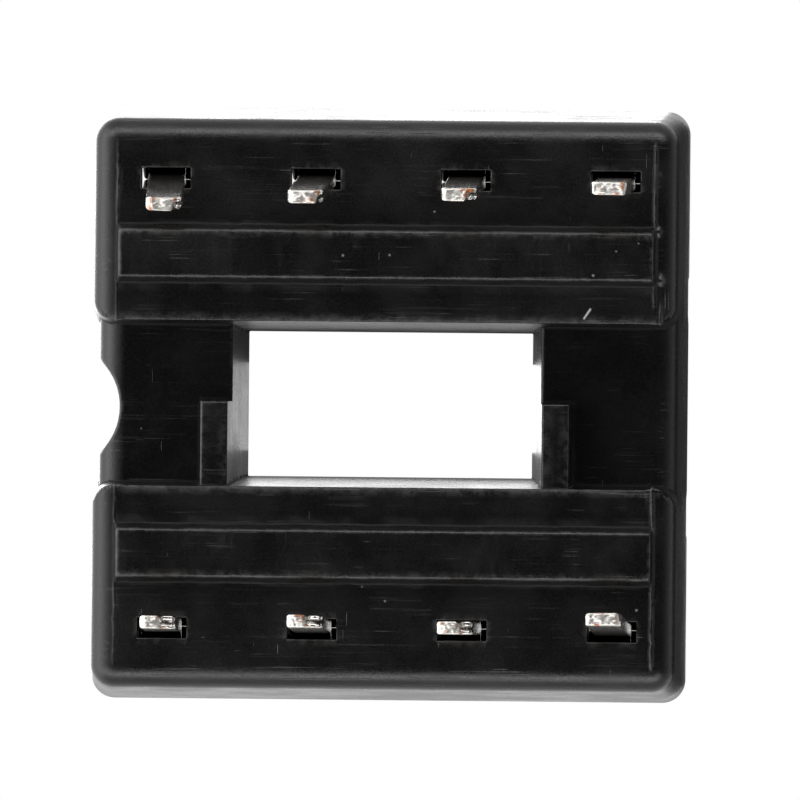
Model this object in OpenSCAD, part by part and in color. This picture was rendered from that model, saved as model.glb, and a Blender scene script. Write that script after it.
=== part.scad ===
// Dual-in-line socket for an eight-lead integrated circuit.
// One moulded frame holds eight stamped spring contacts. Each contact has two
// leaves that grip a lead of the circuit from both sides, and a flat tail that
// goes through the circuit board and is soldered under it.
// Millimetres. The origin is the middle of the tail pattern on the board's
// surface, +Z points away from the board, and -X is the notched end (lead 1).

/* [Moulding] */
// Length of the frame along the rows, at its top face
body_l = 10.16; // [10.08:0.02:10.24]
// Width of the frame across the rows, at its top face
body_w = 10.11; // [10.05:0.02:10.25]
// Height of the top face above the board
body_h = 4.5; // [4.3:0.1:5.0]
// How far the frame's middle lies towards the notched end from the middle of the tails
body_shift = 0.07; // [0:0.01:0.1]
// Radius of the long lower edges
edge_r = 0.42; // [0.3:0.02:0.44]
// Radius of the lower edges at both ends
end_r = 0.40; // [0.3:0.02:0.42]
// Lean of each end wall over its height
end_draft = 0.132; // [0.08:0.01:0.16]
// Lean of each long wall over its height
side_draft = 0.225; // [0.15:0.01:0.24]
// Radius of the rails' upright corners
corner_r = 0.4; // [0.3:0.05:0.45]

/* [Underside] */
// Height of the seating ribs that rest on the board
rib_h = 0.27; // [0.2:0.01:0.35]
// Distance from the middle to the inner foot of a rib
rib_in = 2.04; // [1.95:0.01:2.1]
// Distance from the middle to the outer foot of a rib
rib_out = 3.03; // [2.95:0.01:3.1]
// How much narrower a rib is on each side at its face than at its foot
rib_slope = 0.09; // [0.05:0.01:0.12]

/* [Window and bridges] */
// Half length of the window at the top face
win_l = 2.42; // [2.3:0.02:2.5]
// Half width of the window at the top face
win_w = 1.235; // [1.15:0.005:1.3]
// Lean of the window's end walls over their height
win_end_draft = 0.2; // [0.1:0.01:0.24]
// Lean of the window's long walls over their height
win_side_draft = 0.165; // [0.1:0.005:0.2]
// Height of the underside of the two end bridges above the board
bridge_z = 1.6; // [1.4:0.1:1.9]
// How far the middle of the frame is set down from the top face
deck_drop = 0.3; // [0.2:0.05:0.45]
// Half width of the part that is set down
deck_w = 2.2; // [2.0:0.1:2.5]
// How far the notched bridge is set in from the ends of the rails
bridge_in = 0.10; // [0.05:0.01:0.14]
// Radius of the lead 1 notch
notch_r = 1.05; // [0.9:0.05:1.1]
// Depth of the notch in the bridge
notch_d = 0.44; // [0.3:0.02:0.5]
// Length of the two small blocks under the bridges
pad_l = 0.46; // [0.4:0.02:0.6]
// Height of the blocks' faces above the board
pad_z = 0.35; // [0.3:0.05:0.6]

/* [Contacts] */
// Thickness of the strip that the contacts are stamped from
strip_t = 0.22; // [0.2:0.01:0.24]
// Width of a tail
tail_w = 0.62; // [0.5:0.02:0.66]
// Length of the tails below the board's surface
tail_l = 3.2; // [2.8:0.1:3.4]
// Width of the contact's base
base_w = 1.12; // [1.04:0.02:1.14]
// Width of a spring leaf
leaf_w = 1.02; // [0.94:0.02:1.06]
// How far the two leaves press into each other where they grip, with no lead between them
grip_press = 0.02; // [0.01:0.01:0.04]

/* [Cavities] */
// Size of a cavity along the row
cavity_x = 1.24; // [1.2:0.02:1.3]
// Size of a cavity across the row
cavity_y = 1.38; // [1.34:0.02:1.4]
// Height of a cavity's floor above the board
floor_z = 0.85; // [0.8:0.05:0.95]
// Length of a floor slot along the row
slot_x = 0.83; // [0.75:0.01:0.9]
// Width of a floor slot across the row
slot_y = 0.34; // [0.32:0.01:0.38]
// Lead-in at the mouth of a cavity
mouth = 0.16; // [0.1:0.02:0.2]

/* [Hidden] */
$fn = 64;
pitch = 2.54;
row_y = 3.81;                       // from the middle to a row of leads
per_row = 4;
xc = -body_shift;                   // middle of the frame
hl = body_l / 2;
hw = body_w / 2;
end_near = hl - end_draft - end_r;  // flat half length of the rails' underside
side_near = hw - side_draft - edge_r;
deck_z = body_h - deck_drop;
win_near = win_l + win_end_draft;
pad_x = win_near + 0.04;            // window side of the blocks at their faces
tail_u = -0.04;                     // tail against the outward axis, in its slot
bend_z = 0.3;                       // where the tails start to lean
gap = 0.02;                         // overlap where pieces of the frame run together

// How each tail was left by handling: its tip's shift along X, and its lean towards the middle.
tail_lean = [[0.10, 0.45], [-0.08, 0.30], [-0.04, 0.24], [-0.06, 0.11],
             [-0.09, 0.21], [-0.04, 0.04], [-0.02, 0.13], [0.06, 0.09]];

// ---------- helpers ----------

// A shape drawn in X and Z, run along Y.
module along_y(y0, y1)
    translate([0, y1, 0]) rotate([90, 0, 0]) linear_extrude(height = y1 - y0) children();

// A shape drawn in Y and Z, run along X.
module along_x(x0, x1)
    translate([x0, 0, 0]) rotate([90, 0, 90]) linear_extrude(height = x1 - x0) children();

// Outline of a strip of constant thickness along a list of points.
function unit(v) = v / norm(v);
function side_of(v) = [-v[1], v[0]];
function mitre(p, i) =
    let (n = len(p),
         a = i > 0 ? unit(p[i] - p[i - 1]) : unit(p[1] - p[0]),
         b = i < n - 1 ? unit(p[i + 1] - p[i]) : unit(p[n - 1] - p[n - 2]),
         m = unit(side_of(a) + side_of(b)))
    m / (m * side_of(a));
function strip_outline(p, t) =
    [for (i = [0 : len(p) - 1]) p[i] + mitre(p, i) * t / 2,
     for (i = [len(p) - 1 : -1 : 0]) p[i] - mitre(p, i) * t / 2];

// Points of a bend that rounds the corner at b between a and c.
function bend(a, b, c, r, n = 5) =
    let (u = unit(a - b), v = unit(c - b),
         half = acos(u * v) / 2,
         d = r / tan(half),
         w = unit(u + v),
         centre = b + w * (r / sin(half)),
         s = b + u * d - centre, e = b + v * d - centre)
    [for (k = [0 : n]) centre + unit(s * (1 - k / n) + e * (k / n)) * r];

// ---------- moulding ----------

// Lengthwise section: flat underside at z0, rounded lower edges, leaning end walls.
module end_section(z0, xa, xb, fa, fb, r, top) {
    translate([xa, z0 + r]) circle(r);
    translate([xb, z0 + r]) circle(r);
    polygon([[xa, z0], [xb, z0], [xb + r, z0 + r], [fb, top], [fa, top], [xa - r, z0 + r]]);
}

// Crosswise section of one rail above its recessed strips.
module rail_section() {
    translate([side_near, rib_h + edge_r]) circle(edge_r);
    polygon([[win_w + win_side_draft, rib_h], [side_near, rib_h],
             [side_near + edge_r, rib_h + edge_r], [hw, body_h],
             [deck_w, body_h], [deck_w - 0.05, deck_z], [win_w, deck_z]]);
}

// Crosswise section of one seating rib.
module rib_section()
    polygon([[rib_in + rib_slope, 0], [rib_out - rib_slope, 0],
             [rib_out, rib_h + gap], [rib_in, rib_h + gap]]);

// Outline of one rail seen from above.
module rail_plan() {
    r = corner_r;
    translate([xc - hl, win_w + r]) square([body_l, hw - win_w - 2 * r]);
    translate([xc - hl + r, win_w]) square([body_l - 2 * r, hw - win_w]);
    for (x = [-1, 1], y = [win_w + r, hw - r])
        translate([xc + x * (hl - r), y]) circle(r);
}

module rail() {
    intersection() {
        union() {
            intersection() {
                along_x(xc - hl, xc + hl) rail_section();
                along_y(0, hw) end_section(rib_h, xc - end_near, xc + end_near,
                                           xc - hl, xc + hl, end_r, body_h);
            }
            intersection() {
                along_x(xc - hl, xc + hl) rib_section();
                along_y(0, hw)
                    polygon([[xc - end_near + 0.03, 0], [xc + end_near - 0.03, 0],
                             [xc + end_near + 0.02, rib_h + gap],
                             [xc - end_near - 0.02, rib_h + gap]]);
            }
        }
        translate([0, 0, -0.1]) linear_extrude(height = body_h + 0.2) rail_plan();
    }
}

// The bridge at the notched end.
module notched_bridge() {
    fa = xc - hl + bridge_in;
    difference() {
        along_y(-win_w - 0.27, win_w + 0.27) {
            translate([fa + 0.09 + end_r + 0.03, bridge_z + end_r + 0.03]) circle(end_r + 0.03);
            polygon([[fa + 0.12 + end_r, bridge_z], [xc - win_near, bridge_z],
                     [xc - win_l, deck_z], [fa, deck_z],
                     [fa + 0.09, bridge_z + end_r + 0.03]]);
        }
        translate([fa - notch_r + notch_d, 0.07, bridge_z - 1])
            cylinder(r = notch_r, h = body_h);
    }
}

// The plain bridge at the other end.
module plain_bridge()
    along_y(-win_w - 0.27, win_w + 0.27) {
        translate([xc + end_near, bridge_z + end_r]) circle(end_r);
        polygon([[xc + win_near, bridge_z], [xc + end_near, bridge_z],
                 [xc + end_near + end_r, bridge_z + end_r],
                 [xc + hl, deck_z], [xc + win_l, deck_z]]);
    }

// A small block under a bridge, beside the window, on the rail of leads 5 to 8.
module pad()
    along_y(-0.04, win_w + 0.3)
        polygon([[pad_x, pad_z], [pad_x + pad_l, pad_z],
                 [pad_x + pad_l + 0.04, bridge_z + gap], [win_near, bridge_z + gap]]);

// One cavity with its mouth and its floor slot, around the lead position.
module cavity() {
    translate([-cavity_x / 2, -cavity_y / 2, floor_z])
        cube([cavity_x, cavity_y, body_h]);
    translate([-slot_x / 2, -slot_y / 2, -0.1]) cube([slot_x, slot_y, body_h]);
    along_x(-cavity_x / 2, cavity_x / 2)
        polygon([[-cavity_y / 2, body_h - mouth], [cavity_y / 2, body_h - mouth],
                 [cavity_y / 2 + mouth, body_h + 0.001], [-cavity_y / 2 - mouth, body_h + 0.001]]);
}

module housing()
    color([0.05, 0.05, 0.05])
    difference() {
        union() {
            for (s = [0, 1]) mirror([0, s, 0]) rail();
            notched_bridge();
            plain_bridge();
            translate([xc, 0, 0]) pad();
            translate([xc, 0, 0]) mirror([1, 0, 0]) pad();
        }
        for (s = [-1, 1], i = [0 : per_row - 1])
            translate([(i - (per_row - 1) / 2) * pitch, s * row_y, 0]) cavity();
    }

// ---------- contacts ----------
// A contact is drawn at its lead position with its outer side towards +Y.

base_u = cavity_y / 2 - strip_t / 2;   // middle of the base's two plates
base_top = 1.95;                       // where the leaves leave the base
grip_z = 3.35;
leaf_top = body_h - 0.35;
grip_u = strip_t / 2 - grip_press / 2;

// Middle line of a leaf from the base up.
leaf_line = concat(
    [[base_u, 1.2]],
    bend([base_u, 1.2], [base_u, base_top], [grip_u, grip_z], 0.3),
    bend([base_u, base_top], [grip_u, grip_z], [base_u - 0.14, leaf_top], 0.16),
    [[base_u - 0.14, leaf_top]]);

// Middle line of the strip that joins the outer plate to the tail.
foot_line = concat(
    [[tail_u, bend_z - 0.02]],
    bend([tail_u, bend_z], [tail_u, floor_z + 0.02], [base_u, 1.38], 0.15),
    bend([tail_u, floor_z + 0.02], [base_u, 1.38], [base_u, 1.8], 0.15),
    [[base_u, 1.5]]);

// Straight part of a tail from its root down, before it is cut to length.
module tail_bar() {
    c = 0.045;
    w = tail_w / 2;
    t = strip_t / 2;
    intersection() {
        translate([0, 0, -tail_l - bend_z - 0.5]) linear_extrude(height = tail_l + bend_z + 0.5)
            polygon([[-w + c, -t], [w - c, -t], [w, -t + c], [w, t - c],
                     [w - c, t], [-w + c, t], [-w, t - c], [-w, -t + c]]);
        along_y(-1, 1)
            polygon([[-w - 1, 1], [-w - 1, -tail_l], [-w, -tail_l - bend_z + 0.16],
                     [-w + 0.12, -tail_l - bend_z - 0.2], [w - 0.08, -tail_l - bend_z - 0.2],
                     [w, -tail_l - bend_z + 0.12], [w + 1, -tail_l], [w + 1, 1]]);
    }
}

// dx: tip's shift along the row; lean: tip's shift towards the middle of the frame.
module contact(dx, lean) {
    run = tail_l + bend_z;
    // two plates of the base joined by a web, and the two leaves
    intersection() {
        along_x(-base_w / 2, base_w / 2) {
            polygon(strip_outline(leaf_line, strip_t));
            mirror([1, 0]) polygon(strip_outline(leaf_line, strip_t));
            translate([-cavity_y / 2, floor_z]) square([strip_t, 1.3 - floor_z]);
        }
        along_y(-2, 2)
            polygon([[-base_w / 2, floor_z], [base_w / 2, floor_z], [base_w / 2, base_top - 0.25],
                     [leaf_w / 2, base_top + 0.1], [leaf_w / 2 - 0.06, body_h],
                     [-leaf_w / 2 + 0.06, body_h], [-leaf_w / 2, base_top + 0.1],
                     [-base_w / 2, base_top - 0.25]]);
    }
    translate([-cavity_x / 2, -cavity_y / 2, floor_z])
        cube([strip_t, cavity_y, base_top - 0.25 - floor_z]);
    // foot that brings the outer plate to the tail
    along_x(-tail_w / 2, tail_w / 2) polygon(strip_outline(foot_line, strip_t));
    // tail
    translate([0, tail_u, bend_z]) rotate([0, 90, 0])
        translate([0, 0, -tail_w / 2]) cylinder(r = strip_t / 2, h = tail_w);
    intersection() {
        translate([0, tail_u, bend_z])
            rotate([-atan(lean / run), -atan(-dx / run), 0])
                tail_bar();
        translate([-1, -2, -tail_l]) cube([2, 4, tail_l + 2]);
    }
}

// Places contact n, counted from the notched end along -Y and back along +Y.
module placed(n) {
    row = n <= per_row ? -1 : 1;
    i = n <= per_row ? n - 1 : 2 * per_row - n;
    color([0.80, 0.79, 0.76])
        translate([(i - (per_row - 1) / 2) * pitch, row * row_y, 0])
            rotate([0, 0, row < 0 ? 180 : 0])
                contact(row < 0 ? -tail_lean[n - 1][0] : tail_lean[n - 1][0],
                        tail_lean[n - 1][1]);
}

module contact_1() placed(1);
module contact_2() placed(2);
module contact_3() placed(3);
module contact_4() placed(4);
module contact_5() placed(5);
module contact_6() placed(6);
module contact_7() placed(7);
module contact_8() placed(8);

housing();
contact_1();
contact_2();
contact_3();
contact_4();
contact_5();
contact_6();
contact_7();
contact_8();
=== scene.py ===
# Looks of the eight-lead IC socket. Lengths are worked out in millimetres and put into the meshes in metres.
import math

import bpy
import numpy as np
from mathutils import Matrix, Vector


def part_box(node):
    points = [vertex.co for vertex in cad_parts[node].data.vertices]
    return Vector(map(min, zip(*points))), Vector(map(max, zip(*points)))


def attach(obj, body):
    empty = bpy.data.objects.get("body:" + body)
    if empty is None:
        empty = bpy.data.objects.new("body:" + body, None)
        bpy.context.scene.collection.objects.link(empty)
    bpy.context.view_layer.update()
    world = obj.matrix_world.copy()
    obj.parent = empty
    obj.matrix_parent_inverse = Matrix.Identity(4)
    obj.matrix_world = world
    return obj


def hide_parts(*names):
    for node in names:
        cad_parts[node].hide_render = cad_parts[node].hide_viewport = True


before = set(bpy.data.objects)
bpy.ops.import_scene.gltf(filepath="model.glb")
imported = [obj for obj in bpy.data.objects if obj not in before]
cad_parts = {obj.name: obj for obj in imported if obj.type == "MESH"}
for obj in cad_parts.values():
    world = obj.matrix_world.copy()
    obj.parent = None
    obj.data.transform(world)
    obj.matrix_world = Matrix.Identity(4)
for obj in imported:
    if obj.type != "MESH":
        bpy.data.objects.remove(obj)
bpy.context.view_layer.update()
MM = 0.001
scene = bpy.context.scene

# ------------------------------------------------------------------ sizes
# The same numbers as the CAD model's.
h_lo, h_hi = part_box("housing")
XC = (h_lo.x + h_hi.x) / 2 / MM
HL = (h_hi.x - h_lo.x) / 2 / MM
HW = (h_hi.y - h_lo.y) / 2 / MM
TOP = h_hi.z / MM
EDGE_R, END_R, CORNER_R = 0.42, 0.40, 0.40
END_DRAFT, SIDE_DRAFT = 0.132, 0.225
RIB_H, RIB_IN, RIB_OUT, RIB_SLOPE = 0.27, 2.04, 3.03, 0.09
WIN_L, WIN_W, WIN_END_DRAFT, WIN_SIDE_DRAFT = 2.42, 1.235, 0.20, 0.165
BRIDGE_Z, DECK_DROP, DECK_W, BRIDGE_IN = 1.6, 0.3, 2.2, 0.10
NOTCH_R, NOTCH_D = 1.05, 0.44
PAD_L, PAD_Z = 0.46, 0.35
CAV_X, CAV_Y, FLOOR_Z, SLOT_X, SLOT_Y, MOUTH = 1.24, 1.38, 0.85, 0.83, 0.34, 0.16
STRIP_T, TAIL_W, TAIL_L, BASE_W, LEAF_W, PRESS = 0.22, 0.62, 3.2, 1.12, 1.02, 0.02
PITCH, ROW_Y = 2.54, 3.81
DECK_Z = TOP - DECK_DROP
END_NEAR = HL - END_DRAFT - END_R
SIDE_NEAR = HW - SIDE_DRAFT - EDGE_R
WIN_NEAR = WIN_L + WIN_END_DRAFT
PAD_X = WIN_NEAR + 0.04
TAIL_U, BEND_Z = -0.04, 0.3
# how far across each tail, from its middle, the smooth part of the cut runs
BLOCK = [0.15, 0.20, 0.14, 0.29, 0.27, 0.08, 0.01, 0.03]
LEAN = [(0.10, 0.45), (-0.08, 0.30), (-0.04, 0.24), (-0.06, 0.11),
        (-0.09, 0.21), (-0.04, 0.04), (-0.02, 0.13), (0.06, 0.09)]


# ------------------------------------------------------------------ fields
# A field is a function of points that is negative inside the solid.
def ir(a, b, r):
    """Intersection with its edge rounded to radius r."""
    u, v = np.maximum(r + a, 0), np.maximum(r + b, 0)
    return np.minimum(-r, np.maximum(a, b)) + np.sqrt(u * u + v * v)


def ur(a, b, r):
    """Union with its corner filled to radius r."""
    u, v = np.maximum(r - a, 0), np.maximum(r - b, 0)
    return np.maximum(r, np.minimum(a, b)) - np.sqrt(u * u + v * v)


def step(t, a, b):
    t = np.clip((t - a) / (b - a), 0, 1)
    return t * t * (3 - 2 * t)


def hash3(ix, iy, iz, seed):
    h = (ix * 374761393 + iy * 668265263 + iz * 2147483647 + seed * 1274126177) & 0xFFFFFFFF
    h = ((h ^ (h >> 13)) * 1103515245) & 0xFFFFFFFF
    h = ((h ^ (h >> 16)) * 668265263) & 0xFFFFFFFF
    return ((h ^ (h >> 15)) & 0xFFFF) / 32767.5 - 1.0


def noise(p, size, seed):
    """Smooth noise in -1..1 with features of about the given size."""
    q = p / size + 1000.0
    i = np.floor(q).astype(np.int64)
    f = q - i
    f = f * f * (3 - 2 * f)
    out = 0
    for dx in (0, 1):
        for dy in (0, 1):
            for dz in (0, 1):
                w = (
                    (f[..., 0] if dx else 1 - f[..., 0])
                    * (f[..., 1] if dy else 1 - f[..., 1])
                    * (f[..., 2] if dz else 1 - f[..., 2])
                )
                out = out + w * hash3(i[..., 0] + dx, i[..., 1] + dy, i[..., 2] + dz, seed)
    return out


# small lumps of flash at the ribs' ends: place, spread and height
LUMPS = [(4.60, -2.97, 0.25, 0.07, 0.05), (4.66, -2.14, 0.26, 0.07, 0.05), (4.60, -1.28, 0.32, 0.08, 0.035),
         (4.56, 1.32, 0.31, 0.12, 0.040), (4.50, 1.62, 0.27, 0.05, 0.03), (-4.52, -2.98, 0.12, 0.06, 0.025),
         (-4.50, -1.36, 0.30, 0.07, 0.02), (-4.46, 1.42, 0.28, 0.06, 0.02), (-2.20, 2.07, 0.2, 0.05, 0.02),
         (4.58, 2.10, 0.22, 0.06, 0.03), (4.60, 3.30, 0.28, 0.06, 0.02), (4.62, -3.9, 0.28, 0.06, 0.02)]


def housing_field(p):
    X, Y, Z = p[..., 0], p[..., 1], p[..., 2]
    x, ax, ay = X - XC, np.abs(X - XC), np.abs(Y)
    # walls that lean
    ke = END_DRAFT / (TOP - RIB_H - END_R)
    ks = SIDE_DRAFT / (TOP - RIB_H - EDGE_R)
    ki = WIN_SIDE_DRAFT / (DECK_Z - RIB_H)
    a_end = (ax - (HL - ke * (TOP - Z))) / math.hypot(1, ke)
    a_side = (ay - (HW - ks * (TOP - Z))) / math.hypot(1, ks)
    a_inner = ((WIN_W + ki * (DECK_Z - Z)) - ay) / math.hypot(1, ki)
    a_bot = RIB_H - Z
    rail = ir(ir(a_end, a_side, CORNER_R), a_bot, 0.41)
    rail = ir(rail, a_inner, 0.03)
    rail = np.maximum(rail, ir(a_end, a_inner, 0.35))
    # witness line where the end's insert met the rest of the mould
    wig = 0.012 * noise(np.stack([Y, np.sign(x), 0 * x], -1), 0.16, 5) + 0.008 * noise(np.stack([Y, np.sign(x), 0 * x], -1), 0.05, 6)
    off = np.where(x > 0, 0.11 * step(Y, -1.78, -1.66) * (1 - step(Y, -1.2, -1.1)) * (Y < 0), 0) + wig
    high = 0.010 + 0.007 * noise(np.stack([Y, np.sign(x), 0 * x], -1), 0.3, 8)
    high = high + np.where(x > 0, 0.012, 0)
    flash = (ax - END_NEAR - off) ** 2 / 0.022 ** 2
    ridge = np.exp(-flash) * high * (ay > 1.25) * (1 - step(ay, 4.35, 4.5)) * step(-Z, -0.55, -0.35)
    rail = rail - ridge
    for bx_, by_, bz_, br_, bh_ in LUMPS:
        d2 = (x - bx_) ** 2 + (Y - by_) ** 2 + (Z - bz_) ** 2
        rail = rail - bh_ * np.exp(-d2 / br_ ** 2)
    # seating rib
    kr = RIB_SLOPE / RIB_H
    c = math.hypot(1, kr)
    rib = ir(np.maximum((ay - (RIB_OUT - kr * (RIB_H - Z))) / c,
                        ((RIB_IN + kr * (RIB_H - Z)) - ay) / c), -Z, 0.05)
    rib = ir(rib, (ax - (END_NEAR + 0.02 - 0.05 / RIB_H * (RIB_H - Z))), 0.05)
    rib = np.maximum(rib, Z - 0.6)
    ra = np.stack([X, Y * 0.5, 0 * X], -1)
    rib = rib + 0.006 * noise(ra, 0.22, 11) + 0.003 * noise(ra, 0.07, 12)
    rail = ur(rail, rib, 0.012)
    rail = ir(rail, Z - TOP, 0.05)
    # the set-down middle
    deck = np.maximum(ay - (DECK_W - 0.05 / DECK_DROP * (TOP - Z)), DECK_Z - Z)
    rail = ir(rail, -deck, 0.04)
    # bridges
    kw = WIN_END_DRAFT / (DECK_Z - BRIDGE_Z)
    a_win = ((WIN_L + kw * (DECK_Z - Z)) - ax) / math.hypot(1, kw)
    fa = -HL + BRIDGE_IN
    kl = 0.09 / (DECK_Z - BRIDGE_Z - END_R - 0.03)
    a_l = (fa + kl * (DECK_Z - Z) - x) / math.hypot(1, kl)
    kr2 = END_DRAFT / (DECK_Z - BRIDGE_Z - END_R)
    a_r = (x - (HL - kr2 * (DECK_Z - Z))) / math.hypot(1, kr2)
    b_bot = BRIDGE_Z - Z
    left = ir(b_bot, a_l, END_R + 0.03)
    cyl = np.hypot(x - (fa - NOTCH_R + NOTCH_D), Y - 0.07) - NOTCH_R
    left = ir(left, -cyl, 0.05 + 0.2 * step(Z, 2.0, 2.5))
    right = ir(b_bot, a_r, END_R)
    bridge = np.where(x < 0, left, right)
    bridge = ir(bridge, a_win, 0.05)
    bridge = ir(bridge, Z - DECK_Z, 0.045)
    bridge = np.maximum(bridge, ay - 1.5)
    # blocks beside the window
    kp = 0.04 / (BRIDGE_Z - PAD_Z)
    pad = np.maximum((PAD_X - 0.04 / (BRIDGE_Z - PAD_Z) * (Z - PAD_Z)) - ax,
                     ax - (PAD_X + PAD_L + kp * (Z - PAD_Z)))
    pad = ir(np.maximum(pad, -0.04 - Y), PAD_Z - Z, 0.045)
    pad = np.maximum(np.maximum(pad, Y - 1.6), Z - BRIDGE_Z - 0.1)
    body = np.minimum(np.minimum(rail, bridge), pad)
    # cavities and floor slots
    xl = (X + 5.08) % PITCH - PITCH / 2
    xl = np.where(np.abs(X) > 5.08, 9.0, xl)
    yl = np.abs(ay - ROW_Y)
    cav = np.maximum(np.maximum(np.abs(xl) - CAV_X / 2, yl - CAV_Y / 2), FLOOR_Z - Z)
    mouth = np.maximum((yl - CAV_Y / 2 - (Z - TOP + MOUTH)) * 0.7071, np.abs(xl) - CAV_X / 2)
    mouth = np.maximum(mouth, TOP - MOUTH - 0.02 - Z)
    slot = np.maximum(np.abs(xl) - SLOT_X / 2, yl - SLOT_Y / 2)
    body = ir(body, -np.minimum(cav, mouth), 0.035)
    return ir(body, -slot, 0.03)


def nets(field, gx, gy, gz, newton=3):
    """A closed quad mesh on the zero of a field, from an uneven grid."""
    nx, ny, nz = len(gx), len(gy), len(gz)
    G = np.stack(np.meshgrid(gx, gy, gz, indexing="ij"), -1)
    V = np.empty((nx, ny, nz))
    for i in range(0, nx, 24):
        V[i:i + 24] = field(G[i:i + 24])
    V[V == 0] = 1e-9
    S = V < 0
    acc = np.zeros(((nx - 1) * (ny - 1) * (nz - 1), 3))
    cnt = np.zeros((nx - 1) * (ny - 1) * (nz - 1))
    quads = []
    cell = lambda i, j, k: (i * (ny - 1) + j) * (nz - 1) + k
    for ax in range(3):
        a = [slice(None)] * 3
        b = [slice(None)] * 3
        a[ax], b[ax] = slice(0, -1), slice(1, None)
        cross = S[tuple(a)] != S[tuple(b)]
        I = np.argwhere(cross)
        J = I.copy()
        J[:, ax] += 1
        va, vb = V[tuple(I.T)], V[tuple(J.T)]
        t = (va / (va - vb))[:, None]
        pt = G[tuple(I.T)] * (1 - t) + G[tuple(J.T)] * t
        o1, o2 = (ax + 1) % 3, (ax + 2) % 3
        lim = np.array([nx, ny, nz]) - 2
        cells = []
        good = np.ones(len(I), bool)
        for d1, d2 in ((-1, -1), (0, -1), (0, 0), (-1, 0)):
            C = I.copy()
            C[:, o1] += d1
            C[:, o2] += d2
            good &= (C >= 0).all(1) & (C <= lim).all(1)
            cells.append(C)
        for C in cells:
            ok = (C >= 0).all(1) & (C <= lim).all(1)
            idx = cell(*C[ok].T)
            np.add.at(acc, idx, pt[ok])
            np.add.at(cnt, idx, 1)
        q = np.stack([cell(*C.T) for C in cells], 1)[good]
        flip = va[good] > 0
        q[flip] = q[flip][:, ::-1]
        quads.append(q)
    quads = np.concatenate(quads)
    used = np.flatnonzero(cnt)
    P = acc[used] / cnt[used][:, None]
    remap = np.full(len(cnt), -1)
    remap[used] = np.arange(len(used))
    Q = remap[quads]
    k = used % (nz - 1)
    j = (used // (nz - 1)) % (ny - 1)
    i = used // ((nz - 1) * (ny - 1))
    size = np.stack([np.diff(gx)[i], np.diff(gy)[j], np.diff(gz)[k]], 1)
    lo = np.stack([gx[i], gy[j], gz[k]], 1)
    for _ in range(newton):
        g = gradient(field, P, 0.003)
        n2 = np.maximum((g * g).sum(1), 0.05)
        move = -(field(P) / n2)[:, None] * g
        P = np.clip(P + np.clip(move, -size * 0.6, size * 0.6), lo - size * 0.05, lo + size * 1.05)
    return P, Q


def gradient(field, P, e):
    g = np.empty_like(P)
    for a in range(3):
        d = np.zeros(3)
        d[a] = e
        g[:, a] = (field(P + d) - field(P - d)) / (2 * e)
    return g


def grid_lines(lo, hi, marks, coarse):
    """Grid positions: close together across each mark (position, half width, spacing), wide apart elsewhere."""
    pts = [lo, hi]
    for m, w, s in marks:
        n = max(1, int(round(2 * w / s)))
        pts += list(np.linspace(m - w, m + w, n + 1))
    pts = sorted(p for p in pts if lo <= p <= hi)
    out = [pts[0]]
    for p in pts[1:]:
        gap = p - out[-1]
        if gap < 0.008:
            continue
        if gap > coarse * 1.3:
            n = int(math.ceil(gap / coarse))
            start = out[-1]
            out += [start + gap * k / n for k in range(1, n)]
        out.append(p)
    return np.array(out)


def to_object(name, P, Q, field, masks=True, smooth_e=0.004):
    me = bpy.data.meshes.new(name)
    n, m = len(P), len(Q)
    me.vertices.add(n)
    me.vertices.foreach_set("co", (P * MM).astype(np.float32).ravel())
    me.loops.add(4 * m)
    me.loops.foreach_set("vertex_index", Q.astype(np.int32).ravel())
    me.polygons.add(m)
    me.polygons.foreach_set("loop_start", np.arange(0, 4 * m, 4, dtype=np.int32))
    me.polygons.foreach_set("loop_total", np.full(m, 4, np.int32))
    me.polygons.foreach_set("use_smooth", np.ones(m, bool))
    me.update(calc_edges=True)
    me.validate()
    N = gradient(field, P, smooth_e)
    N /= np.maximum(np.linalg.norm(N, axis=1), 1e-9)[:, None]
    me.normals_split_custom_set_from_vertices(N.astype(np.float32))
    if masks:
        e = 0.03
        f0 = field(P)
        lap = -6 * f0
        for a in range(3):
            d = np.zeros(3)
            d[a] = e
            lap = lap + field(P + d) + field(P - d)
        lap /= e * e
        for key, val in (("edge", np.clip((lap - 5) / 12, 0, 1)), ("crease", np.clip((-lap - 5) / 12, 0, 1))):
            at = me.attributes.new(key, "FLOAT", "POINT")
            at.data.foreach_set("value", val.astype(np.float32))
    ob = bpy.data.objects.new(name, me)
    scene.collection.objects.link(ob)
    return ob


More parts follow.
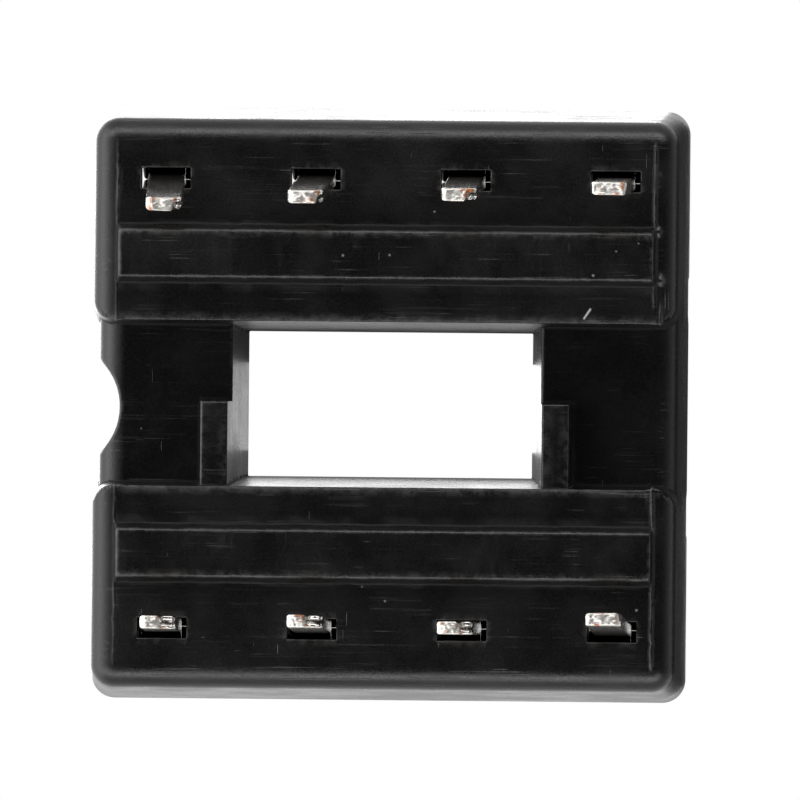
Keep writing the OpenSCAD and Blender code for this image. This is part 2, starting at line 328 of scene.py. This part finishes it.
def tidy(ob, field, target=90000):
    """Join up the quads of flat places, then give every vertex the field's own normal."""
    me = ob.data
    n = len(me.vertices)
    edge = np.empty(n, np.float32)
    crease = np.empty(n, np.float32)
    me.attributes["edge"].data.foreach_get("value", edge)
    me.attributes["crease"].data.foreach_get("value", crease)
    P = np.empty(n * 3, np.float32)
    me.vertices.foreach_get("co", P)
    P = P.reshape(-1, 3).astype(float) / MM
    N = gradient(field, P, 0.004)
    N /= np.maximum(np.linalg.norm(N, axis=1), 1e-9)[:, None]
    # a place is flat where its neighbours share its normal
    ev = np.empty(len(me.edges) * 2, np.int32)
    me.edges.foreach_get("vertices", ev)
    ev = ev.reshape(-1, 2)
    bend = 1 - (N[ev[:, 0]] * N[ev[:, 1]]).sum(1)
    worst = np.zeros(n)
    np.maximum.at(worst, ev[:, 0], bend)
    np.maximum.at(worst, ev[:, 1], bend)
    flat = (worst < 1e-5) & (edge < 0.001) & (crease < 0.001)
    group = ob.vertex_groups.new(name="flat")
    group.add([int(i) for i in np.flatnonzero(flat)], 1.0, "REPLACE")
    total = sum(len(p.vertices) - 2 for p in me.polygons)
    if total > target:
        mod = ob.modifiers.new("d", "DECIMATE")
        mod.decimate_type = "COLLAPSE"
        mod.ratio = target / total
        mod.vertex_group = "flat"
        mod.vertex_group_factor = 1000.0
        dg = bpy.context.evaluated_depsgraph_get()
        new = bpy.data.meshes.new_from_object(ob.evaluated_get(dg), preserve_all_data_layers=True, depsgraph=dg)
        ob.modifiers.clear()
        ob.data = new
        me = new
    ob.vertex_groups.clear()
    n = len(me.vertices)
    P = np.empty(n * 3, np.float32)
    me.vertices.foreach_get("co", P)
    P = P.reshape(-1, 3).astype(float) / MM
    N = gradient(field, P, 0.004)
    N /= np.maximum(np.linalg.norm(N, axis=1), 1e-9)[:, None]
    me.polygons.foreach_set("use_smooth", np.ones(len(me.polygons), bool))
    me.normals_split_custom_set_from_vertices(N.astype(np.float32))
    print(ob.name, "triangles", sum(len(p.vertices) - 2 for p in me.polygons), "flat", int(flat.sum()))
    return ob


# ------------------------------------------------------------------ housing
xs, ys = [], []
for s in (-1, 1):
    xs += [(XC + s * 4.83, 0.26, 0.045), (XC + s * 4.555, 0.065, 0.018), (XC + s * 2.50, 0.14, 0.025),
           (XC + s * 2.66, 0.05, 0.020), (XC + s * 3.14, 0.06, 0.020)]
    for i in range(4):
        c = (i - 1.5) * PITCH
        xs += [(c + s * CAV_X / 2, 0.05, 0.020), (c + s * SLOT_X / 2, 0.04, 0.020)]
    ys += [(s * 4.74, 0.33, 0.045), (s * 1.30, 0.13, 0.022), (s * 2.085, 0.08, 0.020), (s * 2.985, 0.08, 0.020),
           (s * (ROW_Y + CAV_Y / 2), 0.05, 0.025), (s * (ROW_Y - CAV_Y / 2), 0.05, 0.025),
           (s * (ROW_Y + SLOT_Y / 2), 0.04, 0.020), (s * (ROW_Y - SLOT_Y / 2), 0.04, 0.020), (s * 2.18, 0.05, 0.025)]
ys += [(0.07, 1.02, 0.06), (-0.04, 0.05, 0.02)]
zs = [(0.03, 0.06, 0.018), (0.27, 0.07, 0.02), (0.50, 0.20, 0.045), (FLOOR_Z, 0.05, 0.025),
      (BRIDGE_Z, 0.06, 0.02), (1.84, 0.18, 0.045), (DECK_Z, 0.06, 0.02), (TOP - 0.03, 0.05, 0.018), (TOP - MOUTH, 0.05, 0.025)]
gx = grid_lines(XC - HL - 0.06, XC + HL + 0.06, xs, 0.30)
gy = grid_lines(-HW - 0.06, HW + 0.06, ys, 0.30)
gz = grid_lines(-0.06, TOP + 0.06, zs, 0.30)
print("grid", len(gx), len(gy), len(gz))
P, Q = nets(housing_field, gx, gy, gz)
body = to_object("moulding", P, Q, housing_field)
tidy(body, housing_field, 170000)


# ------------------------------------------------------------------ contacts
def arc(a, b, c, r, n=8):
    a, b, c = np.array(a, float), np.array(b, float), np.array(c, float)
    u, v = (a - b) / np.linalg.norm(a - b), (c - b) / np.linalg.norm(c - b)
    half = math.acos(float(u @ v)) / 2
    d = r / math.tan(half)
    w = (u + v) / np.linalg.norm(u + v)
    centre = b + w * (r / math.sin(half))
    s, e = b + u * d - centre, b + v * d - centre
    out = []
    for k in range(n + 1):
        t = s * (1 - k / n) + e * (k / n)
        out.append(centre + t / np.linalg.norm(t) * r)
    return out


BASE_U = CAV_Y / 2 - STRIP_T / 2
BASE_TOP, GRIP_Z, LEAF_TOP = 1.95, 3.35, TOP - 0.35
GRIP_U = STRIP_T / 2 - PRESS / 2
LEAF = ([np.array([BASE_U, 0.96])] + arc([BASE_U, 1.2], [BASE_U, BASE_TOP], [GRIP_U, GRIP_Z], 0.3)
        + arc([BASE_U, BASE_TOP], [GRIP_U, GRIP_Z], [BASE_U - 0.14, LEAF_TOP], 0.16)
        + [np.array([BASE_U - 0.14, LEAF_TOP])])
FOOT = (arc([TAIL_U, BEND_Z], [TAIL_U, FLOOR_Z + 0.02], [BASE_U, 1.38], 0.15)
        + arc([TAIL_U, FLOOR_Z + 0.02], [BASE_U, 1.38], [BASE_U, 1.8], 0.15) + [np.array([BASE_U, 1.6])])


def line_distance(u, z, line):
    best = np.full(u.shape, 1e9)
    for a, b in zip(line[:-1], line[1:]):
        d = b - a
        L = float(d @ d)
        t = np.clip(((u - a[0]) * d[0] + (z - a[1]) * d[1]) / L, 0, 1)
        best = np.minimum(best, np.hypot(u - a[0] - t * d[0], z - a[1] - t * d[1]))
    return best


def contact_field(n):
    row = -1 if n <= 4 else 1
    i = n - 1 if n <= 4 else 8 - n
    cx, cy = (i - 1.5) * PITCH, row * ROW_Y
    dx, lean = LEAN[n - 1]
    dx *= row
    run = TAIL_L + BEND_Z
    tip = np.array([dx, TAIL_U - lean])
    seed = 40 + n

    def local(p):
        return (p[..., 0] - cx) * row, (p[..., 1] - cy) * row, p[..., 2]

    def field(p):
        x, u, z = local(p)
        half = np.interp(z, [0, BASE_TOP - 0.25, BASE_TOP + 0.1, TOP], [BASE_W / 2, BASE_W / 2, LEAF_W / 2, LEAF_W / 2 - 0.06])
        leaf = ir(line_distance(np.abs(u), z, LEAF) - STRIP_T / 2, np.abs(x) - half, 0.035)
        leaf = ir(leaf, (FLOOR_Z + 0.004) - z, 0.03)
        leaf = ir(leaf, z - (LEAF_TOP + 0.03), 0.03)
        web = np.maximum(np.abs(u) - CAV_Y / 2 + 0.002, np.abs(x + CAV_X / 2 - STRIP_T / 2 - 0.001) - STRIP_T / 2 + 0.002)
        web = ir(web, np.maximum(FLOOR_Z + 0.004 - z, z - (BASE_TOP - 0.25)), 0.03)
        out = ur(leaf, web, 0.03)
        foot = ir(line_distance(u, z, FOOT) - STRIP_T / 2, np.abs(x) - TAIL_W / 2, 0.03)
        out = ur(out, foot, 0.02)
        # tail, a bar that leans from its bend to its tip
        t = np.clip((BEND_Z + 0.25 - z) / (run + 0.25), 0, 1.1)
        bx = x - tip[0] * t
        bu = u - (TAIL_U + (tip[1] - TAIL_U) * t)
        wx = TAIL_W / 2 - 0.05 * step(-z, TAIL_L - 0.22, TAIL_L) * (0.8 + 0.5 * np.sign(bx))
        bar = ir(np.abs(bx) - wx, np.abs(bu) - STRIP_T / 2, 0.05)
        # sheared end: rolled over on the inner side, torn on the outer
        q = np.stack([x, u, np.zeros_like(x)], -1)
        rough = 0.018 * noise(q, 0.09, seed) + 0.010 * noise(q, 0.04, seed + 20)
        g = bx * row
        torn = step(g, BLOCK[n - 1] - 0.05, BLOCK[n - 1] + 0.05)
        level = 0.055 - 0.16 * (g + 0.12) * (g < 0.25) + 0.03 * step(-g, 0.2, 0.3)
        inner = step(-bu, -0.07, 0.06)
        cut = -TAIL_L + np.maximum(level, 0.0) + torn * (0.05 + 0.16 * inner + 0.35 * np.maximum(g - BLOCK[n - 1], 0)) + rough - z
        bar = ir(bar, cut, 0.035)
        bar = np.maximum(bar, z - (FLOOR_Z + 0.1))
        return ur(out, bar, 0.02)

    lo = [min(-0.62, dx - 0.31), min(-0.69, tip[1] - 0.11)]
    hi = [max(0.57, dx + 0.31), 0.69]
    return field, (cx, cy, row, lo, hi, tip)


contacts = []
for n in range(1, 9):
    field, (cx, cy, row, lo, hi, tip) = contact_field(n)
    dx = tip[0]
    lx = [(-0.62, 0.03, 0.02), (-0.40, 0.03, 0.02), (-0.56, 0.03, 0.02), (0.56, 0.03, 0.02), (0.40, 0.05, 0.025), (-0.31, 0.04, 0.02),
          (0.31, 0.04, 0.02), (dx - 0.29, 0.05, 0.02), (dx + 0.29, 0.05, 0.02)]
    lu = [(-0.69, 0.03, 0.015), (0.69, 0.03, 0.015), (0.47, 0.03, 0.02), (-0.47, 0.03, 0.02), (0.0, 0.30, 0.03),
          (tip[1], 0.13, 0.022)]
    lz = [(-TAIL_L + 0.04, 0.09, 0.018), (BEND_Z, 0.3, 0.08), (FLOOR_Z, 0.04, 0.02), (1.2, 0.25, 0.04), (1.75, 0.06, 0.025), (2.0, 0.2, 0.05),
          (GRIP_Z, 0.25, 0.04), (LEAF_TOP, 0.08, 0.02)]
    ax_ = grid_lines(lo[0] - 0.05, hi[0] + 0.05, lx, 0.08)
    au = grid_lines(lo[1] - 0.05, hi[1] + 0.05, lu, 0.06)
    az = grid_lines(-TAIL_L - 0.06, LEAF_TOP + 0.1, lz, 0.16)
    gx_ = cx + row * ax_
    gy_ = cy + row * au
    gx_.sort()
    gy_.sort()
    P, Q = nets(field, gx_, gy_, az)
    ob = to_object(f"lead_{n}", P, Q, field)
    xl, ul, zl = (P[:, 0] - cx) * row, (P[:, 1] - cy) * row, P[:, 2]
    bare = ob.data.attributes.new("tip", "FLOAT", "POINT")
    # 0 at the left edge of the cut end, 1 at its right edge, as the cutting tool passed
    across = (P[:, 0] - cx - dx * row) - BLOCK[n - 1]
    near = 1 - step(P[:, 2], -TAIL_L + 0.05, -TAIL_L + 0.14)
    bare.data.foreach_set("value", (near * step(across, -0.05, 0.05)).astype(np.float32))
    end = ob.data.attributes.new("cut", "FLOAT", "POINT")
    end.data.foreach_set("value", near.astype(np.float32))
    contacts.append(ob)
    print(ob.name, "quads", len(Q))


# ------------------------------------------------------------------ materials
class Tree:
    """A short way to write node trees: each call makes a node and returns its output."""

    def __init__(self, material):
        material.use_nodes = True
        self.t = material.node_tree
        self.t.nodes.clear()

    def node(self, kind, props=None, **inputs):
        n = self.t.nodes.new(kind)
        for k, v in (props or {}).items():
            setattr(n, k, v)
        for k, v in inputs.items():
            self.put(n, k.replace("_", " "), v)
        return n

    def put(self, n, key, v):
        sock = n.inputs[int(key[1:])] if key[0] == "#" else n.inputs[key]
        if isinstance(v, bpy.types.NodeSocket):
            self.t.links.new(v, sock)
        elif isinstance(v, bpy.types.Node):
            self.t.links.new(v.outputs[0], sock)
        else:
            sock.default_value = v

    def math(self, op, a, b=0.0, c=None, clamp=False):
        n = self.t.nodes.new("ShaderNodeMath")
        n.operation, n.use_clamp = op, clamp
        self.put(n, "#0", a)
        self.put(n, "#1", b)
        if c is not None:
            self.put(n, "#2", c)
        return n.outputs[0]

    def span(self, v, a, b, lo=0.0, hi=1.0, smooth=True):
        n = self.t.nodes.new("ShaderNodeMapRange")
        n.interpolation_type = "SMOOTHSTEP" if smooth else "LINEAR"
        for k, x in (("Value", v), ("From Min", a), ("From Max", b), ("To Min", lo), ("To Max", hi)):
            self.put(n, k, x)
        return n.outputs[0]

    def noise(self, vec, scale, detail=3.0, rough=0.55, distortion=0.0):
        n = self.node("ShaderNodeTexNoise", None, Vector=vec, Scale=scale, Detail=detail, Roughness=rough, Distortion=distortion)
        return n.outputs["Fac"]

    def stretch(self, vec, scale, rot=(0, 0, 0), loc=(0, 0, 0)):
        n = self.node("ShaderNodeMapping", {"vector_type": "POINT"}, Vector=vec, Location=loc, Rotation=rot, Scale=scale)
        return n.outputs[0]

    def mix(self, f, a, b):
        n = self.t.nodes.new("ShaderNodeMix")
        n.data_type = "RGBA"
        self.put(n, "#0", f)
        self.t.links.new(f, n.inputs[0]) if isinstance(f, bpy.types.NodeSocket) else None
        for i, v in ((6, a), (7, b)):
            if isinstance(v, bpy.types.NodeSocket):
                self.t.links.new(v, n.inputs[i])
            else:
                n.inputs[i].default_value = v
        return n.outputs[2]

    def attr(self, name):
        return self.node("ShaderNodeAttribute", {"attribute_name": name}).outputs["Fac"]


def rgb(r, g, b):
    return (r, g, b, 1.0)


def plastic():
    m = bpy.data.materials.new("black_plastic")
    t = Tree(m)
    P = t.node("ShaderNodeTexCoord").outputs["Object"]
    sep = t.node("ShaderNodeSeparateXYZ", None, Vector=P)
    X, Y, Z = sep.outputs
    # spark-eroded mould texture, coarse over fine
    grain = t.noise(P, 26000, 3.0, 0.6)
    coarse = t.noise(P, 7000, 2.0, 0.5)
    patch = t.noise(P, 900, 3.0, 0.55)
    # drag lines along the row, from the mould's milling and from handling
    long = t.noise(t.stretch(P, (500, 26000, 9000)), 1.0, 2.0, 0.5)
    lines = t.span(long, 0.56, 0.74)
    gate = t.span(t.noise(P, 1500, 2.0), 0.42, 0.60)
    lines = t.math("MULTIPLY", lines, gate)
    # handling scratches in two directions
    s1 = t.span(t.noise(t.stretch(P, (900, 42000, 900), (0, 0, 0.35)), 1.0, 1.0), 0.765, 0.80)
    s2 = t.span(t.noise(t.stretch(P, (42000, 1100, 1100), (0, 0, 0.62)), 1.0, 1.0), 0.775, 0.81)
    scratch = t.math("MAXIMUM", s1, s2)
    scratch = t.math("MULTIPLY", scratch, t.span(t.noise(P, 2200, 1.0), 0.52, 0.62))
    # one deeper nick on the inner strip near the plain end
    nx_, ny_ = t.math("SUBTRACT", X, 0.003345), t.math("ADD", Y, 0.00157)
    nu = t.math("ADD", t.math("MULTIPLY", nx_, 0.555), t.math("MULTIPLY", ny_, -0.832))
    nv = t.math("ADD", t.math("MULTIPLY", nx_, 0.832), t.math("MULTIPLY", ny_, 0.555))
    nick = t.math("MULTIPLY", t.span(t.math("ABSOLUTE", nu), 0.00012, 0.00009), t.span(t.math("ABSOLUTE", nv), 0.000024, 0.000010))
    nick = t.math("MULTIPLY", nick, t.math("LESS_THAN", Z, 0.0004))
    edge = t.attr("edge")
    # rubbed wear plus a painted highlight along the convex edges, broken up by noise
    rub_and_highlight = t.math("MULTIPLY", edge, t.span(t.noise(P, 5200, 3.0, 0.65), 0.40, 0.66))
    # dust specks
    v = t.node("ShaderNodeTexVoronoi", {"feature": "F1"}, Vector=P, Scale=2600.0, Randomness=1.0)
    speck = t.math("SUBTRACT", 1.0, t.span(t.math("ADD", v.outputs["Distance"], t.math("MULTIPLY", coarse, 0.08)), 0.06, 0.12))
    pick = t.span(t.node("ShaderNodeSeparateColor", None, Color=v.outputs["Color"]).outputs[0], 0.90, 0.92)
    speck = t.math("MULTIPLY", speck, pick)
    # colour
    c = t.mix(t.span(patch, 0.35, 0.65), rgb(0.0016, 0.0013, 0.0013), rgb(0.0042, 0.0036, 0.0036))
    c = t.mix(t.math("MULTIPLY", lines, 0.30), c, rgb(0.030, 0.028, 0.028))
    # lighter colour on the convex edges: a painted edge highlight mixed with rubbed wear
    c = t.mix(t.math("MULTIPLY", rub_and_highlight, 0.45), c, rgb(0.070, 0.067, 0.066))
    c = t.mix(t.math("MULTIPLY", scratch, 0.8), c, rgb(0.13, 0.126, 0.122))
    c = t.mix(t.math("MULTIPLY", speck, 0.8), c, rgb(0.20, 0.19, 0.18))
    c = t.mix(nick, c, rgb(0.42, 0.41, 0.40))
    # roughness
    r = t.span(patch, 0.3, 0.7, 0.27, 0.37)
    r = t.math("ADD", r, t.math("MULTIPLY", t.attr("crease"), 0.5))
    r = t.math("ADD", r, t.span(grain, 0.3, 0.7, -0.05, 0.05))
    r = t.math("ADD", r, t.math("MULTIPLY", rub_and_highlight, 0.06))
    r = t.math("ADD", r, t.math("MULTIPLY", speck, 0.3), clamp=True)
    h = t.math("ADD", t.math("MULTIPLY", grain, 0.55), t.math("MULTIPLY", coarse, 0.5))
    h = t.math("ADD", h, t.math("MULTIPLY", lines, -0.6))
    h = t.math("ADD", h, t.math("MULTIPLY", scratch, -1.0))
    h = t.math("ADD", h, t.math("MULTIPLY", speck, 1.0))
    b = t.node("ShaderNodeBump", None, Strength=0.6, Distance=0.000008, Height=h)
    s = t.node("ShaderNodeBsdfPrincipled", None, Base_Color=c, Roughness=r, Normal=b)
    s.inputs["IOR"].default_value = 1.50
    out = t.node("ShaderNodeOutputMaterial")
    t.t.links.new(s.outputs[0], out.inputs[0])
    return m


def tin():
    m = bpy.data.materials.new("tin_plate")
    t = Tree(m)
    P = t.node("ShaderNodeTexCoord").outputs["Object"]
    grain = t.noise(P, 30000, 3.0, 0.6)
    patch = t.noise(P, 1800, 3.0, 0.6)
    # rolling lines along the strip
    roll = t.noise(t.stretch(P, (32000, 32000, 1600)), 1.0, 3.0, 0.6)
    across, cut = t.attr("tip"), t.attr("cut")
    # the cut end: tin drawn over it on the side that was cut first, bare alloy on the side that tore
    wob = t.span(t.noise(P, 9000, 3.0, 0.6), 0.25, 0.75, -0.3, 0.3)
    torn = t.span(t.math("ADD", across, wob), 0.45, 0.70)
    torn = t.math("MULTIPLY", torn, t.span(cut, 0.1, 0.5))
    rim = t.math("MULTIPLY", t.attr("edge"), t.span(t.noise(P, 4200, 2.0), 0.52, 0.66))
    bare = t.math("MAXIMUM", torn, t.math("MULTIPLY", rim, t.span(cut, 0.0, 0.6)))
    c = t.mix(patch, rgb(0.62, 0.60, 0.565), rgb(0.76, 0.735, 0.69))
    c = t.mix(t.math("MULTIPLY", roll, 0.35), c, rgb(0.52, 0.50, 0.47))
    c = t.mix(bare, c, rgb(0.40, 0.165, 0.075))
    tarnish = t.span(t.noise(P, 3600, 4.0, 0.65), 0.60, 0.76)
    c = t.mix(t.math("MULTIPLY", tarnish, 0.35), c, rgb(0.30, 0.26, 0.21))
    r = t.span(grain, 0.3, 0.7, 0.13, 0.20)
    r = t.math("ADD", r, t.math("MULTIPLY", cut, 0.30))
    r = t.math("ADD", r, t.math("MULTIPLY", bare, 0.10))
    r = t.math("ADD", r, t.math("MULTIPLY", tarnish, 0.12), clamp=True)
    h = t.math("ADD", t.math("MULTIPLY", roll, 0.25), t.math("MULTIPLY", grain, 0.06))
    h = t.math("ADD", h, t.math("MULTIPLY", t.math("MULTIPLY", t.noise(P, 14000, 4.0, 0.7), cut), 2.2))
    b = t.node("ShaderNodeBump", None, Strength=0.35, Distance=0.000004, Height=h)
    s = t.node("ShaderNodeBsdfPrincipled", None, Base_Color=c, Roughness=r, Normal=b)
    s.inputs["Metallic"].default_value = 1.0
    out = t.node("ShaderNodeOutputMaterial")
    t.t.links.new(s.outputs[0], out.inputs[0])
    return m


body.data.materials.append(plastic())
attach(body, "root")
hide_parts("housing")
metal = tin()
for n, ob in enumerate(contacts, 1):
    ob.data.materials.append(metal)
    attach(ob, "root")
    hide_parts(f"contact_{n}")


# ------------------------------------------------------------------ floor
def disc(name, z, radius, rings, segments):
    verts = [(0, 0, z)]
    faces = []
    for i in range(1, rings + 1):
        r = radius * i / rings
        for j in range(segments):
            a = 2 * math.pi * j / segments
            verts.append((r * math.cos(a), r * math.sin(a), z))
    for j in range(segments):
        faces.append((0, 1 + j, 1 + (j + 1) % segments))
    for i in range(rings - 1):
        for j in range(segments):
            a, b = 1 + i * segments + j, 1 + i * segments + (j + 1) % segments
            faces.append((a, a + segments, b + segments, b))
    me = bpy.data.meshes.new(name)
    me.from_pydata([tuple(c * MM for c in v) for v in verts], [], faces)
    ob = bpy.data.objects.new(name, me)
    scene.collection.objects.link(ob)
    return ob


floor = disc("floor", -TAIL_L, 70, 12, 96)
fm = bpy.data.materials.new("floor")
t = Tree(fm)
P = t.node("ShaderNodeTexCoord").outputs["Object"]
dist = t.node("ShaderNodeVectorMath", {"operation": "LENGTH"}, Vector=P).outputs["Value"]
fade = t.span(dist, 0.014, 0.062)
back = t.node("ShaderNodeNewGeometry").outputs["Backfacing"]
d = t.node("ShaderNodeBsdfDiffuse", None, Color=rgb(0.86, 0.86, 0.86))
clear = t.node("ShaderNodeBsdfTransparent")
mx = t.node("ShaderNodeMixShader")
t.t.links.new(t.math("MAXIMUM", fade, back), mx.inputs[0])
t.t.links.new(d.outputs[0], mx.inputs[1])
t.t.links.new(clear.outputs[0], mx.inputs[2])
out = t.node("ShaderNodeOutputMaterial")
t.t.links.new(mx.outputs[0], out.inputs[0])
floor.data.materials.append(fm)
floor.visible_diffuse = floor.visible_glossy = floor.visible_transmission = floor.visible_shadow = False

# ------------------------------------------------------------------ light
world = bpy.data.worlds.new("studio")
scene.world = world
t = Tree(world)
D = t.node("ShaderNodeTexCoord").outputs["Generated"]
sep = t.node("ShaderNodeSeparateXYZ", None, Vector=D)
DX, DY, DZ = sep.outputs


def curve(v, points):
    """Straight lines between points (value, result); results up to 8."""
    n = t.t.nodes.new("ShaderNodeValToRGB")
    e = n.color_ramp.elements
    while len(e) < len(points):
        e.new(0.5)
    for k, (x, y) in enumerate(points):
        e[k].position = (x + 1) / 2
        e[k].color = rgb(y / 8, y / 8, y / 8)
    t.t.links.new(t.math("MULTIPLY_ADD", v, 0.5, 0.5), n.inputs[0])
    return t.math("MULTIPLY", n.outputs[0], 8.0)


flat_r = t.math("SQRT", t.math("MAXIMUM", t.math("SUBTRACT", 1.0, t.math("MULTIPLY", DZ, DZ)), 0.0001))
azx = t.math("DIVIDE", DX, flat_r)
azy = t.math("DIVIDE", DY, flat_r)
base = curve(DZ, [(-1.0, 0.06), (-0.55, 0.08), (-0.15, 0.30), (0.25, 0.60), (0.75, 1.0)])
key = t.math("MULTIPLY", curve(DZ, [(-0.97, 0.0), (-0.88, 0.40), (-0.70, 0.8), (-0.42, 2.2), (-0.10, 2.9), (0.12, 1.6), (0.35, 0.7), (0.95, 0.0)]),
             t.span(azx, -0.45, -0.90))
side = t.math("MULTIPLY", curve(DZ, [(-0.80, 0.0), (-0.66, 1.0), (-0.54, 5.0), (-0.43, 3.0), (-0.22, 0.4), (0.0, 0.3), (0.4, 0.0)]),
              t.span(t.math("ABSOLUTE", azy), 0.45, 0.85))
lum = t.math("ADD", t.math("ADD", base, key), side)
bg = t.node("ShaderNodeBackground", None, Color=rgb(1, 1, 1), Strength=lum)
white = t.node("ShaderNodeBackground", None, Color=rgb(1, 1, 1), Strength=1.0)
mx = t.node("ShaderNodeMixShader")
t.t.links.new(t.node("ShaderNodeLightPath").outputs["Is Camera Ray"], mx.inputs[0])
t.t.links.new(bg.outputs[0], mx.inputs[1])
t.t.links.new(white.outputs[0], mx.inputs[2])
out = t.node("ShaderNodeOutputWorld")
t.t.links.new(mx.outputs[0], out.inputs[0])



def card(name, x0, x1, y0, y1, z, shade):
    """A card seen only in reflections and only from under it: the shade that the part throws on what is behind it."""
    me = bpy.data.meshes.new(name)
    me.from_pydata([(x * MM, y * MM, z * MM) for x, y in ((x0, y0), (x0, y1), (x1, y1), (x1, y0))], [], [(0, 1, 2, 3)])
    ob = bpy.data.objects.new(name, me)
    scene.collection.objects.link(ob)
    m = bpy.data.materials.new(name)
    global t
    t = Tree(m)
    a = t.node("ShaderNodeEmission", None, Color=rgb(shade, shade, shade), Strength=1.0)
    b = t.node("ShaderNodeBsdfTransparent")
    x = t.node("ShaderNodeMixShader")
    t.t.links.new(t.node("ShaderNodeNewGeometry").outputs["Backfacing"], x.inputs[0])
    t.t.links.new(a.outputs[0], x.inputs[1])
    t.t.links.new(b.outputs[0], x.inputs[2])
    out = t.node("ShaderNodeOutputMaterial")
    t.t.links.new(x.outputs[0], out.inputs[0])
    me.materials.append(m)
    ob.visible_camera = ob.visible_diffuse = ob.visible_transmission = ob.visible_shadow = False


card("shade_right", 5.06, 12.0, -6.0, 6.0, TOP + 0.12, 0.04)
card("shade_a", XC - 2.5, XC + 2.5, -1.30, -0.70, TOP + 0.12, 0.05)
card("shade_b", XC - 2.5, XC + 2.5, 0.80, 1.30, TOP + 0.12, 0.22)

lamp = bpy.data.lights.new("softbox", "AREA")
lamp.shape, lamp.size = "DISK", 0.12
lamp.energy = 0.10
lamp_ob = bpy.data.objects.new("softbox", lamp)
scene.collection.objects.link(lamp_ob)
lamp_ob.location = (-0.05, -0.04, 0.16)
lamp_ob.rotation_euler = (Vector((0, 0, 0)) - Vector(lamp_ob.location)).to_track_quat("-Z", "Y").to_euler()
lamp_ob.visible_camera = False

# ------------------------------------------------------------------ camera
# Straight up at the underside, a degree and a half round to one end, and turned half a degree in its frame.
roll = math.radians(0.55)
back_v = Vector((math.tan(math.radians(1.5)), 0, -1)).normalized()
right = Vector((math.cos(roll), -math.sin(roll), 0))
right = (right - back_v * right.dot(back_v)).normalized()
up = back_v.cross(right).normalized()
mid = Vector((XC, 0, TOP)) * MM
reach = 404.5 * MM
lens_px = 23652.0
aim = mid - right * (391.2 - 400) / lens_px * reach - up * (400 - 404.8) / lens_px * reach
cam = bpy.data.cameras.new("camera")
cam.sensor_width = 36.0
cam.lens = lens_px / 800 * 36.0
cam.clip_start, cam.clip_end = 0.05, 2.0
cam_ob = bpy.data.objects.new("camera", cam)
scene.collection.objects.link(cam_ob)
m4 = Matrix((right, up, back_v)).transposed().to_4x4()
m4.translation = aim + back_v * reach
cam_ob.matrix_world = m4
scene.camera = cam_ob
scene.view_settings.view_transform = "Standard"

bpy.context.view_layer.update()
